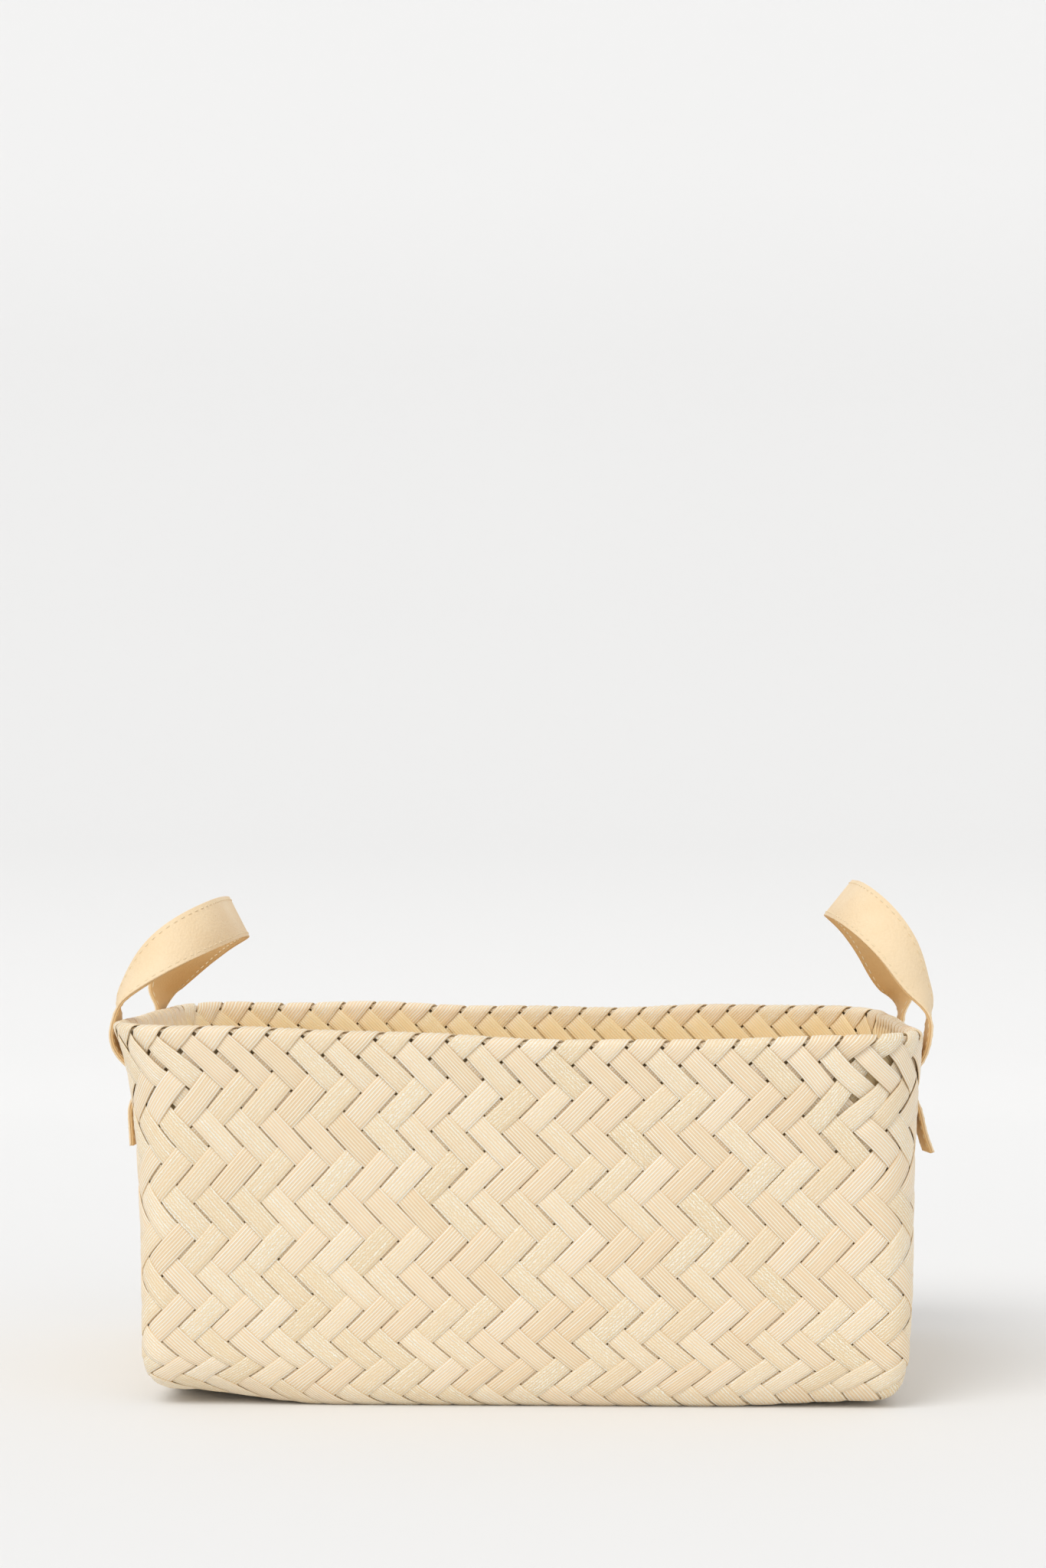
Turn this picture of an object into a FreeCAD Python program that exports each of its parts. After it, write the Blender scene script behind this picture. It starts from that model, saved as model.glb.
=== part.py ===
"""Rectangular storage basket plaited from flat ribbed strips, with a leather strap handle at each end.

Frame: millimetres, +Z up, +X along the long side, origin at the middle of the underside of the base.
"""

import os

import FreeCAD
import Part

from FreeCAD import Vector

# ---- plaited shell ------------------------------------------------------------------------------
# height, overall length along X, overall depth along Y and corner radius of the outer face
OUTER_SECTIONS = (
    (0.0, 391.0, 276.0, 8.0),
    (4.0, 404.0, 288.0, 9.0),
    (10.0, 412.0, 295.0, 10.0),
    (25.0, 419.0, 300.0, 12.0),
    (60.0, 424.0, 303.0, 18.0),
    (95.0, 427.0, 305.0, 25.0),
    (137.0, 433.0, 308.0, 33.0),
    (170.0, 440.0, 311.0, 40.0),
    (199.0, 446.0, 314.0, 45.0),
)
PLY = 1.6                  # two crossing strips, one over the other
WALL = 5.0                 # outer ply, air gap and inner ply together
PLY_GAP = 0.2              # between the base and the plies that stand on it
RIM_TOP = 203.5            # top of the fold where the strips turn over into the inner ply
RIM_ROUND = 2.3            # rounding of the fold

# ---- strap handles ------------------------------------------------------------------------------
STRAP_WIDTH = 27.0
LEATHER = 1.1              # thickness of each of the two leather layers
GLUE_LINE = 0.1            # between the two layers
HINGE_X = 228.5            # where the strap bends over the rim, from the middle of the basket
HINGE_Z = 205.0
LEG_Y = 86.0               # from the middle of the basket to the middle of each strap leg
HINGE_GAP_ABOVE = 5.5      # flexing stretch of strap above the bend line
LOOP_STATIONS = 57         # cross-sections lofted along one loop, with a stitch between each two

STITCH_INSET = 2.4         # from the strap's edge to the stitch row
STITCH_ENDS = (0.15, 0.85)  # where a stitch starts and stops between two cross-sections
THREAD_WIDTH = 0.6
THREAD_HEIGHT = 0.3
THREAD_CLEARANCE = 0.15

# Half a loop, from the leg at -Y to the crown: middle of the strap measured from the bend line
# (inwards, along Y, up), then the direction across the strap towards its lower edge. The first
# row lies below the bend line and only sets the direction in which the strap starts.
LEFT_LOOP = (
    ((0.0, -86.0, -12.0), (-0.05, -1.0, 0.0)),
    ((0.0, -86.0, 0.0), (0.0, -1.0, 0.0)),
    ((1.6, -85.5, 10.0), (0.2, -0.97, -0.04)),
    ((7.0, -84.0, 19.0), (0.39, -0.90, -0.18)),
    ((21.0, -80.0, 34.0), (0.65, -0.58, -0.50)),
    ((36.5, -71.0, 45.5), (0.64, -0.19, -0.75)),
    ((48.7, -55.0, 52.4), (0.48, 0.0, -0.88)),
    ((53.6, -33.0, 55.2), (0.46, 0.0, -0.89)),
    ((54.5, 0.0, 56.0), (0.48, 0.0, -0.88)),
)
RIGHT_LOOP = (
    ((0.0, -86.0, -12.0), (-0.05, -1.0, 0.0)),
    ((0.0, -86.0, 0.0), (0.0, -1.0, 0.0)),
    ((1.8, -85.5, 10.0), (0.3, -0.95, -0.10)),
    ((6.5, -84.5, 19.5), (0.53, -0.82, -0.22)),
    ((17.0, -82.0, 38.0), (0.77, -0.51, -0.38)),
    ((30.0, -73.5, 54.0), (0.79, -0.20, -0.58)),
    ((40.0, -56.0, 63.5), (0.69, -0.03, -0.73)),
    ((44.0, -34.0, 66.5), (0.63, 0.0, -0.78)),
    ((44.5, 0.0, 67.0), (0.65, 0.0, -0.76)),
)

# Side view of a strap's end below the bend line: outwards from the bend line, and height.
STRAP_END_LINE = ((0.0, 203.4), (1.0, 195.0), (-1.2, 185.0), (-4.8, 175.0), (-7.0, 163.0), (-8.0, 137.0))

os.makedirs("parts", exist_ok=True)


def save(name, shape):
    """Write one node, after making sure that every solid in it is sound."""
    if not shape.isValid():
        raise ValueError(f"{name} is not a valid solid")
    shape.exportStep(f"parts/{name}.step")


def outline_sizes(section, inset):
    """Half length, half depth and corner radius of the shell at one height, moved in by inset."""
    length, depth, radius = section[1:]
    return length / 2 - inset, depth / 2 - inset, radius - inset


def section_at(height):
    """The outer section at any height, between the two stated ones around it."""
    for low, high in zip(OUTER_SECTIONS, OUTER_SECTIONS[1:]):
        if low[0] <= height <= high[0]:
            share = (height - low[0]) / (high[0] - low[0])
            return tuple(a + share * (b - a) for a, b in zip(low, high))
    return (height,) + OUTER_SECTIONS[-1][1:]


def levels(bottom, top):
    """Sections from bottom to top, with the stated ones in between."""
    inner = [section for section in OUTER_SECTIONS if bottom < section[0] < top]
    return [section_at(bottom)] + inner + [section_at(top)]


def rounded_outline(section, inset):
    """Closed wire around the shell at one height."""
    half_x, half_y, radius = outline_sizes(section, inset)
    height = section[0]
    edges = []
    corners = ((1, -1), (1, 1), (-1, 1), (-1, -1))
    start = Vector(-half_x + radius, -half_y, height)
    for sign_x, sign_y in corners:
        along_x = Vector(sign_x * (half_x - radius), sign_y * half_y, height)
        along_y = Vector(sign_x * half_x, sign_y * (half_y - radius), height)
        first, last = (along_x, along_y) if sign_x == -sign_y else (along_y, along_x)
        diagonal = radius * (1 - 0.5 ** 0.5)
        middle = Vector(sign_x * (half_x - diagonal), sign_y * (half_y - diagonal), height)
        edges.append(Part.makeLine(start, first))
        edges.append(Part.Arc(first, middle, last).toShape())
        start = last
    return Part.Wire(edges)


def base_plate():
    """The plaited base, one ply thick."""
    lower = rounded_outline(section_at(0.0), 0.0)
    upper = rounded_outline(section_at(PLY), 0.0)
    return Part.makeLoft([lower, upper], True, True)


def wall_outline(section, inner_inset, along_x, sign):
    """Cross-section of one straight wall between its two corners."""
    half_x, half_y, radius = outline_sizes(section, 0.0)
    height = section[0]
    if along_x:
        reach = half_x - radius
        inner = half_y - inner_inset
        corners = ((-reach, half_y), (reach, half_y), (reach, inner), (-reach, inner))
        points = [Vector(x, sign * y, height) for x, y in corners]
    else:
        reach = half_y - radius
        inner = half_x - inner_inset
        corners = ((half_x, -reach), (half_x, reach), (inner, reach), (inner, -reach))
        points = [Vector(sign * x, y, height) for x, y in corners]
    return Part.makePolygon(points + points[:1])


def corner_outline(section, inner_inset, sign_x, sign_y):
    """Cross-section of one rounded corner: a quarter ring."""
    half_x, half_y, radius = outline_sizes(section, 0.0)
    height = section[0]
    centre = Vector(sign_x * (half_x - radius), sign_y * (half_y - radius), height)
    diagonal = 0.5 ** 0.5

    def at(distance, x, y):
        return centre + Vector(sign_x * x * distance, sign_y * y * distance, 0)

    inner = radius - inner_inset
    outer_arc = Part.Arc(at(radius, 1, 0), at(radius, diagonal, diagonal), at(radius, 0, 1)).toShape()
    first_side = Part.makeLine(at(radius, 0, 1), at(inner, 0, 1))
    inner_arc = Part.Arc(at(inner, 0, 1), at(inner, diagonal, diagonal), at(inner, 1, 0)).toShape()
    second_side = Part.makeLine(at(inner, 1, 0), at(radius, 1, 0))
    return Part.Wire([outer_arc, first_side, inner_arc, second_side])


def rim_profile(outer, along, up):
    """The rounded fold at the top of a wall, as a face standing on the point outer."""
    rounding = RIM_ROUND
    far = WALL - rounding
    rise = RIM_TOP - OUTER_SECTIONS[-1][0]
    diagonal = rounding * (1 - 0.5 ** 0.5)

    def at(inwards, height):
        return outer + along * inwards + up * height

    edges = [
        Part.makeLine(at(0, 0), at(0, rise - rounding)),
        Part.Arc(at(0, rise - rounding), at(diagonal, rise - diagonal), at(rounding, rise)).toShape(),
        Part.makeLine(at(rounding, rise), at(far, rise)),
        Part.Arc(at(far, rise), at(WALL - diagonal, rise - diagonal), at(WALL, rise - rounding)).toShape(),
        Part.makeLine(at(WALL, rise - rounding), at(WALL, 0)),
        Part.makeLine(at(WALL, 0), at(0, 0)),
    ]
    return Part.Face(Part.Wire(edges))


def straight_wall(along_x, sign):
    """Outer ply of one wall, with the fold at its top."""
    sections = levels(PLY + PLY_GAP, OUTER_SECTIONS[-1][0])
    ply = Part.makeLoft([wall_outline(section, PLY, along_x, sign) for section in sections], True, True)
    top = OUTER_SECTIONS[-1]
    half_x, half_y, radius = outline_sizes(top, 0.0)
    if along_x:
        reach = half_x - radius
        face = rim_profile(Vector(-reach, sign * half_y, top[0]), Vector(0, -sign, 0), Vector(0, 0, 1))
        fold = face.extrude(Vector(2 * reach, 0, 0))
    else:
        reach = half_y - radius
        face = rim_profile(Vector(sign * half_x, -reach, top[0]), Vector(-sign, 0, 0), Vector(0, 0, 1))
        fold = face.extrude(Vector(0, 2 * reach, 0))
    return ply.fuse(fold)


def corner_wall(sign_x, sign_y):
    """Outer ply of one corner, with the fold at its top."""
    sections = levels(PLY + PLY_GAP, OUTER_SECTIONS[-1][0])
    ply = Part.makeLoft([corner_outline(section, PLY, sign_x, sign_y) for section in sections], True, True)
    top = OUTER_SECTIONS[-1]
    half_x, half_y, radius = outline_sizes(top, 0.0)
    centre = Vector(sign_x * (half_x - radius), sign_y * (half_y - radius), top[0])
    face = rim_profile(centre + Vector(sign_x * radius, 0, 0), Vector(-sign_x, 0, 0), Vector(0, 0, 1))
    fold = face.revolve(centre, Vector(0, 0, 1), 90.0 * sign_x * sign_y)
    return ply.fuse(fold)


def inner_ply():
    """The same strips after the fold, running down inside as one closed band."""
    sections = levels(PLY + PLY_GAP, OUTER_SECTIONS[-1][0] - PLY_GAP)
    outside = Part.makeLoft([rounded_outline(section, WALL - PLY) for section in sections], True, True)
    inside = Part.makeLoft([rounded_outline(section, WALL) for section in sections], True, True)
    return outside.cut(inside)


def interpolated(points):
    """Smooth curve through points."""
    curve = Part.BSplineCurve()
    curve.interpolate(Points=points)
    return curve


def loop_frames(half_loop):
    """Middle point, direction across and outward normal at each station of a whole loop at -X."""
    middles = [Vector(-HINGE_X + x, y, HINGE_Z + z) for (x, y, z), _ in half_loop]
    across = [Vector(*direction).normalize() for _, direction in half_loop]
    middles += [Vector(p.x, -p.y, p.z) for p in reversed(middles[:-1])]
    across += [Vector(a.x, -a.y, a.z) for a in reversed(across[:-1])]
    line = interpolated(middles)
    knots = [line.parameter(point) for point in middles]
    sweep = Part.BSplineCurve()
    sweep.interpolate(Points=across, Parameters=knots)
    bend, far_bend = knots[1], knots[-2]
    span = line.length(bend, far_bend) - 2 * HINGE_GAP_ABOVE
    frames = []
    for index in range(LOOP_STATIONS):
        distance = HINGE_GAP_ABOVE + span * index / (LOOP_STATIONS - 1)
        parameter = line.parameterAtDistance(distance, bend)
        tangent = Vector(*line.tangent(parameter)[0])
        side = sweep.value(parameter)
        side = (side - tangent * side.dot(tangent)).normalize()
        frames.append((line.value(parameter), side, side.cross(tangent)))
    return frames


def ruled_face(first, second, third, fourth):
    """The straight-ruled face through four corners, in order round it."""
    surface = Part.BSplineSurface()
    poles = [[first, fourth], [second, third]]
    surface.buildFromPolesMultsKnots(poles, [2, 2], [2, 2], [0, 1], [0, 1], False, False, 1, 1)
    return surface.toShape()


def leather_layer(frames, low, high):
    """One layer of the strap, between two heights off the strap's middle surface."""
    half = STRAP_WIDTH / 2
    rails = []
    for offset, height in ((-half, low), (half, low), (half, high), (-half, high)):
        rails.append([middle + side * offset + normal * height for middle, side, normal in frames])
    faces = []
    for station in (0, -1):
        corners = [rail[station] for rail in rails]
        faces.append(Part.Face(Part.makePolygon(corners + corners[:1])))
    for first, second in zip(rails, rails[1:] + rails[:1]):
        for index in range(len(frames) - 1):
            faces.append(ruled_face(first[index], first[index + 1], second[index + 1], second[index]))
    shell = Part.makeShell(faces)
    shell.sewShape()
    return Part.makeSolid(shell)


def stitch(first, second, offset, height):
    """One straight stitch lying on the outer leather between two stations."""
    lifted = [middle + side * offset + normal * height for middle, side, normal in (first, second)]
    start, stop = [lifted[0] + (lifted[1] - lifted[0]) * share for share in STITCH_ENDS]
    across = first[1] * (THREAD_WIDTH / 2)
    up = first[2] * THREAD_HEIGHT
    points = [start - across, start + across, start + across + up, start - across + up]
    return Part.Face(Part.makePolygon(points + points[:1])).extrude(stop - start)


def stitch_rows(frames):
    """The two rows of stitches on the outer leather."""
    row = STRAP_WIDTH / 2 - STITCH_INSET
    height = GLUE_LINE / 2 + LEATHER + THREAD_CLEARANCE
    pairs = list(zip(frames, frames[1:]))
    return Part.makeCompound([stitch(*pair, offset, height) for offset in (-row, row) for pair in pairs])


def strap_end(sign_y):
    """Both leather layers of one strap end, hanging down the outside of the wall at -X."""
    line = [Vector(-HINGE_X - x, 0, z) for x, z in STRAP_END_LINE]
    curve = interpolated(line)
    half = GLUE_LINE / 2 + LEATHER
    outer, inner = [], []
    steps = 4 * len(STRAP_END_LINE)
    for index in range(steps + 1):
        parameter = curve.FirstParameter + (curve.LastParameter - curve.FirstParameter) * index / steps
        point = curve.value(parameter)
        tangent = Vector(*curve.tangent(parameter)[0])
        normal = Vector(tangent.z, 0, -tangent.x)
        outer.append(point + normal * half)
        inner.append(point - normal * half)
    sides = [Part.BSplineCurve() for _ in range(2)]
    sides[0].interpolate(Points=outer)
    sides[1].interpolate(Points=list(reversed(inner)))
    outline = Part.Wire([
        sides[0].toShape(),
        Part.makeLine(outer[-1], inner[-1]),
        sides[1].toShape(),
        Part.makeLine(inner[0], outer[0]),
    ])
    end = Part.Face(outline).extrude(Vector(0, STRAP_WIDTH, 0))
    end.translate(Vector(0, sign_y * LEG_Y - STRAP_WIDTH / 2, 0))
    return end


def handle(name, half_loop, mirrored):
    """All the pieces of one handle, built at -X and mirrored for the one at +X."""
    frames = loop_frames(half_loop)
    half_glue = GLUE_LINE / 2
    pieces = {
        f"{name}_handle_outer_leather": leather_layer(frames, half_glue, half_glue + LEATHER),
        f"{name}_handle_lining": leather_layer(frames, -half_glue - LEATHER, -half_glue),
        f"{name}_handle_stitching": stitch_rows(frames),
        f"{name}_front_strap_end": strap_end(-1),
        f"{name}_rear_strap_end": strap_end(1),
    }
    for node, shape in pieces.items():
        placed = shape.mirror(Vector(0, 0, 0), Vector(1, 0, 0)) if mirrored else shape
        save(node, placed)


save("woven_base", base_plate())
save("woven_front_wall", straight_wall(True, -1))
save("woven_back_wall", straight_wall(True, 1))
save("woven_left_wall", straight_wall(False, -1))
save("woven_right_wall", straight_wall(False, 1))
save("woven_front_left_corner", corner_wall(-1, -1))
save("woven_front_right_corner", corner_wall(1, -1))
save("woven_back_right_corner", corner_wall(1, 1))
save("woven_back_left_corner", corner_wall(-1, 1))
save("woven_inner_ply", inner_ply())
handle("left", LEFT_LOOP, False)
handle("right", RIGHT_LOOP, True)
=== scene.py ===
"""Plaited storage basket with leather strap handles. Metres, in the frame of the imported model."""

import math

import bpy
import numpy as np
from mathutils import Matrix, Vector


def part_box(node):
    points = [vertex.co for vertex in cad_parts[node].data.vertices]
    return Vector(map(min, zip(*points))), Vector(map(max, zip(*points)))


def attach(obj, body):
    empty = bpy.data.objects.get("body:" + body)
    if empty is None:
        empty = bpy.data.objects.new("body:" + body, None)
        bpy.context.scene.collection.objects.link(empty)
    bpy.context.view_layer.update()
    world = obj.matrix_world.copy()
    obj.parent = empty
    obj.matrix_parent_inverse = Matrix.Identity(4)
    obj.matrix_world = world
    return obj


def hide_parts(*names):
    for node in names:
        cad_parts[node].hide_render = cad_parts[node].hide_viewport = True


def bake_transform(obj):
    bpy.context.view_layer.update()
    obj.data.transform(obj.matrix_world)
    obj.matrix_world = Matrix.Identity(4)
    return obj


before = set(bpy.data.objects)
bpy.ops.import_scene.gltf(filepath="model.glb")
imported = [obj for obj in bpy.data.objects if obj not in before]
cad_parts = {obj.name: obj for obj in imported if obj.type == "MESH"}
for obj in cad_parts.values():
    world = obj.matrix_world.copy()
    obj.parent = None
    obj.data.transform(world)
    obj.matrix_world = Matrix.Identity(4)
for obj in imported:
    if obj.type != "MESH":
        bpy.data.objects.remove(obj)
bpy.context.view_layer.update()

RANDOM = np.random.default_rng(7)

# ---- the plait ----------------------------------------------------------------------------------
LONG = 22                  # strip spacings along the front and the back
SHORT = 15                 # strip spacings along each end
AROUND = 2 * (LONG + SHORT)
ROWS_DOWN = 11.25          # rows from the rim to the edge of the base
ROWS_INSIDE = 10.0         # rows from the rim to the end of a strip inside
CORNER_AT = (0, LONG, LONG + SHORT, 2 * LONG + SHORT)
STRIP_WIDTH = 0.0134       # where there is room for it
FOLLOW_PITCH = 0.972       # width where the spacing is tighter, as a share of the spacing
RIM_NARROWING = 0.085      # how much narrower a strip is at the rim
LOOSE_NARROWING = 0.13     # how much narrower it is where the plait has worked loose
STRIP_THICK = 0.0007
STRIP_CROWN = 0.00016
OVER = 0.00058             # how far a strip rides off the middle of the plait
SURFACE_INSET = 0.0008     # middle of the plait, from the outer face
FOLD_INSET = 0.0060        # inner ply at the rim
INNER_INSET = 0.0044       # inner ply lower down
BASE_HEIGHT = 0.0009
INNER_END = 0.0055         # height of the inner end of a strip
PIECES = 10
SAMPLE_STEP = 0.115        # rows between samples along a strip
FINE_STEP = 0.045          # the same over the fold at the rim
FINE_REACH = 0.36          # rows each side of the rim that have the fine step
COARSE_FROM = 0.40         # rows below the rim where the wider step goes on
RIBS = 8.0                 # ribs across a strip

# ---- the straps ---------------------------------------------------------------------------------
STRAP_WIDTH = 0.027
STRAP_THICK = 0.0023
LAYER_GAP = 0.00003        # from the middle of a strap to each of its two layers
LINING_INSET = 0.0002      # the lining is this much narrower on each side
EDGE_ROUND = 0.55          # where a layer's edge starts to round, as a share of half its thickness
BEND_X = 0.2285
BEND_Z = 0.205
REAR_TURN = 25             # degrees that the rear leg is turned about its own length


def mesh_points(node):
    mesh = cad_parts[node].data
    flat = np.zeros(3 * len(mesh.vertices))
    mesh.vertices.foreach_get("co", flat)
    return flat.reshape(-1, 3)


def smooth(value):
    value = np.clip(value, 0, 1)
    return value * value * (3 - 2 * value)


def through(xs, ys, x):
    """Smooth values between listed ones, flat beyond the ends."""
    xs, ys = np.array(xs), np.array(ys)
    slopes = np.gradient(ys, xs)
    x = np.clip(x, xs[0], xs[-1])
    i = np.clip(np.searchsorted(xs, x) - 1, 0, len(xs) - 2)
    h = xs[i + 1] - xs[i]
    t = (x - xs[i]) / h
    return (ys[i] * (1 + 2 * t) * (1 - t) ** 2 + slopes[i] * h * t * (1 - t) ** 2
            + ys[i + 1] * t * t * (3 - 2 * t) + slopes[i + 1] * h * t * t * (t - 1))


def outer_sections():
    """Height, half length, half depth and corner radius of the shell, read from the CAD walls."""
    side, front = mesh_points("woven_right_wall"), mesh_points("woven_front_wall")
    top = side[:, 2].max() - 0.004
    rows = []
    for z in sorted(set(np.round(side[side[:, 2] < top, 2], 4))):
        near = side[np.abs(side[:, 2] - z) < 1e-4]
        near_front = front[np.abs(front[:, 2] - z) < 1e-4]
        if len(near_front) == 0:
            continue
        half_x, half_y = near[:, 0].max(), -near_front[:, 1].min()
        radii = half_y - near[:, 1].max(), half_x - near_front[:, 0].max()
        if abs(radii[0] - radii[1]) < 2e-4:
            rows.append((z, half_x, half_y, radii[0]))
    rows = [row for index, row in enumerate(rows) if row[3] <= min(r[3] for r in rows[index:]) + 1e-4]
    rows.insert(0, (0.0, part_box("woven_base")[1].x - 0.0026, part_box("woven_base")[1].y - 0.0024, rows[0][3]))
    return np.array(rows)


SECTIONS = outer_sections()
RIM_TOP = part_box("woven_front_wall")[1].z


def section(z):
    z = np.clip(z, SECTIONS[0, 0], SECTIONS[-1, 0])
    return [np.interp(z, SECTIONS[:, 0], SECTIONS[:, k]) for k in (1, 2, 3)]


def profile():
    """The surface from the inner end of a strip, over the rim and down to the base edge, by arc length."""
    fold = (FOLD_INSET - SURFACE_INSET) / 2
    fold_z = RIM_TOP - fold - STRIP_THICK / 2 - OVER / 2
    rows = []
    for z in np.arange(INNER_END, fold_z, 0.002):
        share = float(smooth((0.025 - z) / 0.020))
        inset = INNER_INSET - 0.002 * share + (FOLD_INSET - INNER_INSET) * float(smooth((z - 0.150) / 0.045))
        hx, hy, r = section(z - 0.0037 * share)
        rows.append((hx - inset, hy - inset, r - inset, z))
    hx, hy, r = section(fold_z)
    for angle in np.linspace(180, 0, 15):
        across = SURFACE_INSET + fold * (1 - math.cos(math.radians(angle)))
        rows.append((hx - across, hy - across, r - across, fold_z + fold * math.sin(math.radians(angle))))
    crest = len(rows) - 8
    for z in np.arange(fold_z - 0.002, BASE_HEIGHT, -0.0015):
        hx, hy, r = section(z)
        rows.append((hx - SURFACE_INSET, hy - SURFACE_INSET, r - SURFACE_INSET, z))
    hx, hy, r = section(BASE_HEIGHT)
    rows.append((hx - SURFACE_INSET, hy - SURFACE_INSET, r - SURFACE_INSET, BASE_HEIGHT))
    rows = np.array(rows)
    rows[:, 2] = np.maximum(rows[:, 2], 0.003)
    steps = np.hypot(np.diff(rows[:, 0]), np.diff(rows[:, 3]))
    length = np.concatenate([[0], np.cumsum(steps)])
    length -= length[crest]
    slope_r, slope_z = np.gradient(rows[:, 0], length), np.gradient(rows[:, 3], length)
    angle = np.unwrap(np.arctan2(slope_r, -slope_z))
    return rows, length, angle


ROWS, LENGTH, ANGLE = profile()
DOWN = LENGTH[-1]
# rows lie closer together towards the base
ROW_AT = (0.0, 0.5, 2.5, 4.5, 6.5, 8.5, 10.5, ROWS_DOWN)
ROW_DISTANCE = tuple(DOWN * share for share in (0, 0.046, 0.237, 0.432, 0.622, 0.795, 0.942, 1.0))


def distance_of(v):
    inside = v * ROW_DISTANCE[2] / ROW_AT[2]
    return np.where(v < 0, inside, through(ROW_AT, ROW_DISTANCE, np.maximum(v, 0)))


def outline(hx, hy, r, u):
    """Point and outward direction on a rounded rectangle; u runs evenly between the corners' middles."""
    u = np.mod(u, AROUND)
    x, y, nx, ny = (np.zeros_like(u) for _ in range(4))
    for k, start in enumerate(CORNER_AT):
        count = LONG if k % 2 == 0 else SHORT
        here = (u >= start) & (u < start + count)
        along, out = (hx, hy) if k % 2 == 0 else (hy, hx)
        along, out, radius = (np.broadcast_to(a, u.shape)[here] for a in (along, out, r))
        arc = math.pi * radius / 4
        total = 2 * (along - radius) + 2 * arc
        s = (u[here] - start) / count * total
        past = np.where(s > total - arc, (s - total + arc) / radius, 0)
        turn = np.where(s < arc, (s - arc) / radius, past)
        straight = np.clip(s - total / 2, -(along - radius), along - radius)
        t = straight + radius * np.sin(turn)
        e = out - radius + radius * np.cos(turn)
        a, b = ((1, 0), (0, 1), (-1, 0), (0, -1))[k]
        c, d = ((0, -1), (1, 0), (0, 1), (-1, 0))[k]
        x[here], y[here] = t * a + e * c, t * b + e * d
        nx[here] = np.sin(turn) * a + np.cos(turn) * c
        ny[here] = np.sin(turn) * b + np.cos(turn) * d
    return x, y, nx, ny


def wall_point(u, v):
    s = distance_of(v)
    hx, hy, r, z = (np.interp(s, LENGTH, ROWS[:, k]) for k in range(4))
    x, y, nx, ny = outline(hx, hy, r, u)
    angle = np.interp(s, LENGTH, ANGLE)
    normal = np.stack([nx * np.cos(angle), ny * np.cos(angle), np.sin(angle)], -1)
    return np.stack([x, y, z], -1), normal


def lattice_to_wall(X, Y):
    """Wall position of lattice points that lie beyond the base."""
    beyond = np.stack([-Y, X - LONG, Y - SHORT, -X], -1)
    side = beyond.argmax(-1)
    u = np.choose(side, [X, LONG + Y, LONG + SHORT + (LONG - X), 2 * LONG + SHORT + (SHORT - Y)])
    return u, ROWS_DOWN - beyond.max(-1)


def base_point(X, Y):
    """The base, spread evenly between the four parts of its outline."""
    hx, hy, r = ROWS[-1, 0], ROWS[-1, 1], ROWS[-1, 2]

    def edge(u):
        x, y, _, _ = outline(hx, hy, r, u)
        return np.stack([x, y], -1)

    X, Y = np.clip(X, 0, LONG), np.clip(Y, 0, SHORT)
    front, back = edge(np.minimum(X, LONG - 1e-9)), edge(2 * LONG + SHORT - np.maximum(X, 1e-9))
    right, left = edge(LONG + np.minimum(Y, SHORT - 1e-9)), edge(AROUND - np.maximum(Y, 1e-9))
    p, q = (X / LONG)[..., None], (Y / SHORT)[..., None]
    corners = [edge(np.array([float(c)]))[0] for c in CORNER_AT]
    flat = ((1 - q) * front + q * back + (1 - p) * left + p * right
            - (1 - p) * (1 - q) * corners[0] - p * (1 - q) * corners[1]
            - p * q * corners[2] - (1 - p) * q * corners[3])
    points = np.concatenate([flat, np.full(flat.shape[:-1] + (1,), BASE_HEIGHT)], -1)
    normal = np.zeros_like(points)
    normal[..., 2] = -1
    return points, normal


def surface(u, v, X, Y, on_wall):
    """Point and normal for mixed samples; on_wall says which of the two descriptions a sample uses."""
    under = on_wall & (v > ROWS_DOWN)
    depth = np.where(under, v - ROWS_DOWN, 0)
    w = np.mod(u, AROUND)
    side = np.digitize(w, CORNER_AT[1:])
    X = np.where(under, np.choose(side, [w, LONG - depth, 2 * LONG + SHORT - w, depth]), X)
    Y = np.where(under, np.choose(side, [depth, w - LONG, SHORT - depth, AROUND - w]), Y)
    inside = (X >= 0) & (X <= LONG) & (Y >= 0) & (Y <= SHORT)
    outside = ~on_wall & ~inside
    far_u, far_v = lattice_to_wall(X, Y)
    wall_u, wall_v = np.where(outside, far_u, u), np.where(outside, far_v, v)
    wall = (on_wall & ~under) | outside
    points, normals = wall_point(wall_u, np.minimum(wall_v, ROWS_DOWN))
    base, down = base_point(X, Y)
    points = np.where(wall[..., None], points, base)
    normals = np.where(wall[..., None], normals, down)
    return points, normals


def over(step):
    """+1 where a rising strip lies on top, -1 where it lies below, eased between crossings."""
    low = np.floor(step)
    sign = [np.where(np.isin(np.mod(k, 4), (0, 3)), 1.0, -1.0) for k in (low, low + 1)]
    return sign[0] + (sign[1] - sign[0]) * smooth((step - low - 0.18) / 0.64)


def base_over(X, Y, forward):
    """The same on the base, for strips running forward (+X, +Y) or the other way."""
    edge = np.stack([Y, LONG - X, SHORT - Y, X], -1)
    side = edge.argmin(-1)
    rising = (side % 2 == 1) == forward
    value = over(2 * (ROWS_DOWN + edge.min(-1)) - 0.5)
    return np.where(rising, value, -value)


def wall_samples():
    fine = np.arange(-FINE_REACH, FINE_REACH + FINE_STEP / 2, FINE_STEP)
    inside = np.arange(-ROWS_INSIDE, -FINE_REACH, SAMPLE_STEP)
    outside = np.append(np.arange(COARSE_FROM, ROWS_DOWN, SAMPLE_STEP), ROWS_DOWN)
    return np.concatenate([inside, fine, outside])


def wall_run(edge_u, rising):
    """Samples of one strip from its inner end down to the base edge at edge_u."""
    v = wall_samples()
    u = edge_u + (ROWS_DOWN - v) * (1 if rising else -1)
    lift = over(2 * v - 0.5)
    return u, v, (lift if rising else -lift)


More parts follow.
